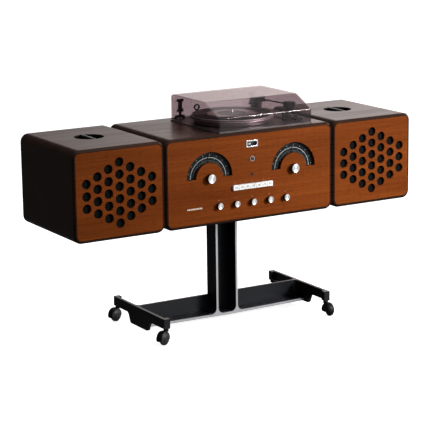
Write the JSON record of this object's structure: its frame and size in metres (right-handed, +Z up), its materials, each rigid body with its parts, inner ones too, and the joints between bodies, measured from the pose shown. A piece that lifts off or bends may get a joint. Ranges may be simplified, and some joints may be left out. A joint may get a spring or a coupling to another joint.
{
  "type": "radio phonograph console",
  "caption": "Wooden radio and record player cabinet on a cast T stand with casters, a lift-off loudspeaker box on each side and a clear lid over the turntable.",
  "frame": {"origin": "on the floor, under the middle of the whole outline", "axes": "+X right seen from the front, +Y to the back, +Z up"},
  "size_m": [1.22, 0.38, 0.723],
  "materials": {
    "dark_wood": "lacquered, very dark brown",
    "walnut_veneer": "satin lacquered veneer, horizontal grain",
    "hardboard": "matt",
    "scale_black": "matt black with pale lines",
    "black_plastic": "matt",
    "key_white": "gloss",
    "chrome_trim": "polished",
    "steel": "zinc plated",
    "core_iron": "painted",
    "black_casting": "black satin paint with bare machined edges",
    "deck_grey": "satin grey",
    "arm_black": "satin black",
    "platter_metal": "turned",
    "rubber": "matt",
    "smoked_acrylic": "clear, smoky pinkish grey",
    "knob_aluminium": "turned face, dark sides",
    "pointer_white": "matt",
    "grille_cloth": "woven black",
    "driver_black": "paper cone on a steel basket",
    "caster_black": "satin",
    "caster_tyre": "satin"
  },
  "bodies": {
    "root": {"cabinet_shell": "dark_wood", "cabinet_front": "walnut_veneer", "cabinet_back": "hardboard", "dial_scales": "scale_black", "key_frame": "black_plastic", "tuning_meter": "chrome_trim", "front_sockets": "chrome_trim", "chassis": "steel", "power_transformer": "core_iron", "rear_sockets": "black_plastic", "left_foot": "black_casting", "right_foot": "black_casting", "stand_frame": "black_casting", "speaker_studs": "steel", "deck_plate": "deck_grey", "turntable_motor": "steel", "tonearm_base": "arm_black", "hinge_posts": "black_plastic"},
    "left_tuning": {"left_tuning_knob": "knob_aluminium"},
    "left_dial_pointer": {"left_pointer": "pointer_white"},
    "right_tuning": {"right_tuning_knob": "knob_aluminium"},
    "right_dial_pointer": {"right_pointer": "pointer_white"},
    "control_1": {"control_knob_1": "knob_aluminium"},
    "control_2": {"control_knob_2": "knob_aluminium"},
    "control_3": {"control_knob_3": "knob_aluminium"},
    "control_4": {"control_knob_4": "knob_aluminium"},
    "control_5": {"control_knob_5": "knob_aluminium"},
    "key_1_body": {"key_1": "key_white"},
    "key_2_body": {"key_2": "key_white"},
    "key_3_body": {"key_3": "key_white"},
    "key_4_body": {"key_4": "key_white"},
    "key_5_body": {"key_5": "key_white"},
    "key_6_body": {"key_6": "key_white"},
    "key_7_body": {"key_7": "key_white"},
    "left_front_caster_swivel": {"left_front_caster_hood": "caster_black"},
    "left_front_caster_roller": {"left_front_caster_wheel": "caster_tyre"},
    "left_back_caster_swivel": {"left_back_caster_hood": "caster_black"},
    "left_back_caster_roller": {"left_back_caster_wheel": "caster_tyre"},
    "right_front_caster_swivel": {"right_front_caster_hood": "caster_black"},
    "right_front_caster_roller": {"right_front_caster_wheel": "caster_tyre"},
    "right_back_caster_swivel": {"right_back_caster_hood": "caster_black"},
    "right_back_caster_roller": {"right_back_caster_wheel": "caster_tyre"},
    "platter_body": {"platter": "platter_metal", "platter_mat": "rubber"},
    "idler": {"idler_wheel": "rubber"},
    "pulley": {"motor_pulley": "steel"},
    "arm_yoke": {"tonearm_yoke": "arm_black"},
    "arm": {"tonearm": "arm_black"},
    "start_lever_body": {"start_lever": "black_plastic"},
    "speed_lever_body": {"speed_lever": "black_plastic"},
    "lid_body": {"lid": "smoked_acrylic", "lid_hinge_arms": "black_plastic"},
    "left_speaker": {"left_speaker_shell": "dark_wood", "left_speaker_grille": "walnut_veneer", "left_speaker_cloth": "grille_cloth", "left_speaker_driver": "driver_black"},
    "right_speaker": {"right_speaker_shell": "dark_wood", "right_speaker_grille": "walnut_veneer", "right_speaker_cloth": "grille_cloth", "right_speaker_driver": "driver_black"}
  },
  "joints": [
    {"name": "left_tuning_turn", "type": "hinge", "parent": "root", "child": "left_tuning", "pos_m": [-0.148, -0.175, 0.506], "axis": [0, 1, 0], "range_deg": [-255, 255]},
    {"name": "left_pointer_turn", "type": "hinge", "parent": "root", "child": "left_dial_pointer", "pos_m": [-0.148, -0.166, 0.506], "axis": [0, 1, 0], "range_deg": [-85, 85]},
    {"name": "right_tuning_turn", "type": "hinge", "parent": "root", "child": "right_tuning", "pos_m": [0.156, -0.175, 0.506], "axis": [0, 1, 0], "range_deg": [-255, 255]},
    {"name": "right_pointer_turn", "type": "hinge", "parent": "root", "child": "right_dial_pointer", "pos_m": [0.156, -0.166, 0.506], "axis": [0, 1, 0], "range_deg": [-85, 85]},
    {"name": "control_1_turn", "type": "hinge", "parent": "root", "child": "control_1", "pos_m": [-0.1172, -0.175, 0.417], "axis": [0, 1, 0], "range_deg": [-140, 140]},
    {"name": "control_2_turn", "type": "hinge", "parent": "root", "child": "control_2", "pos_m": [-0.0566, -0.175, 0.417], "axis": [0, 1, 0], "range_deg": [-140, 140]},
    {"name": "control_3_turn", "type": "hinge", "parent": "root", "child": "control_3", "pos_m": [0.004, -0.175, 0.417], "axis": [0, 1, 0], "range_deg": [-140, 140]},
    {"name": "control_4_turn", "type": "hinge", "parent": "root", "child": "control_4", "pos_m": [0.0646, -0.175, 0.417], "axis": [0, 1, 0], "range_deg": [-140, 140]},
    {"name": "control_5_turn", "type": "hinge", "parent": "root", "child": "control_5", "pos_m": [0.1252, -0.175, 0.417], "axis": [0, 1, 0], "range_deg": [-140, 140]},
    {"name": "key_1_press", "type": "slide", "parent": "root", "child": "key_1_body", "axis": [0, 1, 0], "range_m": [0, 0.004], "stiffness_N_per_m": 150, "springref_m": -0.001},
    {"name": "key_2_press", "type": "slide", "parent": "root", "child": "key_2_body", "axis": [0, 1, 0], "range_m": [0, 0.004], "stiffness_N_per_m": 150, "springref_m": -0.001},
    {"name": "key_3_press", "type": "slide", "parent": "root", "child": "key_3_body", "axis": [0, 1, 0], "range_m": [0, 0.004], "stiffness_N_per_m": 150, "springref_m": -0.001},
    {"name": "key_4_press", "type": "slide", "parent": "root", "child": "key_4_body", "axis": [0, 1, 0], "range_m": [0, 0.004], "stiffness_N_per_m": 150, "springref_m": -0.001},
    {"name": "key_5_press", "type": "slide", "parent": "root", "child": "key_5_body", "axis": [0, 1, 0], "range_m": [0, 0.004], "stiffness_N_per_m": 150, "springref_m": -0.001},
    {"name": "key_6_press", "type": "slide", "parent": "root", "child": "key_6_body", "axis": [0, 1, 0], "range_m": [0, 0.004], "stiffness_N_per_m": 150, "springref_m": -0.001},
    {"name": "key_7_press", "type": "slide", "parent": "root", "child": "key_7_body", "axis": [0, 1, 0], "range_m": [0, 0.004], "stiffness_N_per_m": 150, "springref_m": -0.001},
    {"name": "left_front_caster_swivel_turn", "type": "hinge", "parent": "root", "child": "left_front_caster_swivel", "pos_m": [-0.296, -0.149, 0.06], "axis": [0, 0, 1], "continuous": true},
    {"name": "left_front_caster_roll", "type": "hinge", "parent": "left_front_caster_swivel", "child": "left_front_caster_roller", "pos_m": [-0.3096, -0.15534, 0.0215], "axis": [0.4226, -0.9063, 0], "continuous": true},
    {"name": "left_back_caster_swivel_turn", "type": "hinge", "parent": "root", "child": "left_back_caster_swivel", "pos_m": [-0.296, 0.169, 0.06], "axis": [0, 0, 1], "continuous": true},
    {"name": "left_back_caster_roll", "type": "hinge", "parent": "left_back_caster_swivel", "child": "left_back_caster_roller", "pos_m": [-0.3101, 0.16387, 0.0215], "axis": [0.342, -0.9397, 0], "continuous": true},
    {"name": "right_front_caster_swivel_turn", "type": "hinge", "parent": "root", "child": "right_front_caster_swivel", "pos_m": [0.296, -0.149, 0.06], "axis": [0, 0, 1], "continuous": true},
    {"name": "right_front_caster_roll", "type": "hinge", "parent": "right_front_caster_swivel", "child": "right_front_caster_roller", "pos_m": [0.296, -0.164, 0.0215], "axis": [1, 0, 0], "continuous": true},
    {"name": "right_back_caster_swivel_turn", "type": "hinge", "parent": "root", "child": "right_back_caster_swivel", "pos_m": [0.296, 0.169, 0.06], "axis": [0, 0, 1], "continuous": true},
    {"name": "right_back_caster_roll", "type": "hinge", "parent": "right_back_caster_swivel", "child": "right_back_caster_roller", "pos_m": [0.3101, 0.16387, 0.0215], "axis": [0.342, 0.9397, 0], "continuous": true},
    {"name": "platter_spin", "type": "hinge", "parent": "root", "child": "platter_body", "pos_m": [0.038, -0.002, 0.641], "axis": [0, 0, 1], "continuous": true},
    {"name": "idler_spin", "type": "hinge", "parent": "root", "child": "idler", "pos_m": [-0.03875, -0.05574, 0.641], "axis": [0, 0, 1], "continuous": true},
    {"name": "pulley_spin", "type": "hinge", "parent": "root", "child": "pulley", "pos_m": [-0.01639, -0.04009, 0.641], "axis": [0, 0, 1], "continuous": true},
    {"name": "tonearm_swing", "type": "hinge", "parent": "root", "child": "arm_yoke", "pos_m": [0.196, 0.098, 0.688], "axis": [0, 0, 1], "range_deg": [-42, 0]},
    {"name": "tonearm_lift", "type": "hinge", "parent": "arm_yoke", "child": "arm", "pos_m": [0.196, 0.098, 0.688], "axis": [-0.9976, -0.0698, 0], "range_deg": [0, 4]},
    {"name": "start_lever_turn", "type": "hinge", "parent": "root", "child": "start_lever_body", "pos_m": [0.18, -0.086, 0.641], "axis": [0, 0, 1], "range_deg": [-20, 20]},
    {"name": "speed_lever_slide", "type": "slide", "parent": "root", "child": "speed_lever_body", "axis": [0, 1, 0], "range_m": [-0.011, 0.009]},
    {"name": "lid_open", "type": "hinge", "parent": "root", "child": "lid_body", "pos_m": [0.067, 0.146, 0.6475], "axis": [-1, 0, 0], "range_deg": [0, 70]},
    {"name": "left_speaker_lift_off", "type": "slide", "parent": "root", "child": "left_speaker", "axis": [0, 0, 1], "range_m": [0, 0.3]},
    {"name": "right_speaker_lift_off", "type": "slide", "parent": "root", "child": "right_speaker", "axis": [0, 0, 1], "range_m": [0, 0.3]}
  ],
  "couplings": [
    {"joint": "left_pointer_turn", "follows": "left_tuning_turn", "ratio": 0.3333},
    {"joint": "right_pointer_turn", "follows": "right_tuning_turn", "ratio": 0.3333},
    {"joint": "idler_spin", "follows": "platter_spin", "ratio": 5.2727},
    {"joint": "pulley_spin", "follows": "platter_spin", "ratio": -23.2}
  ]
}
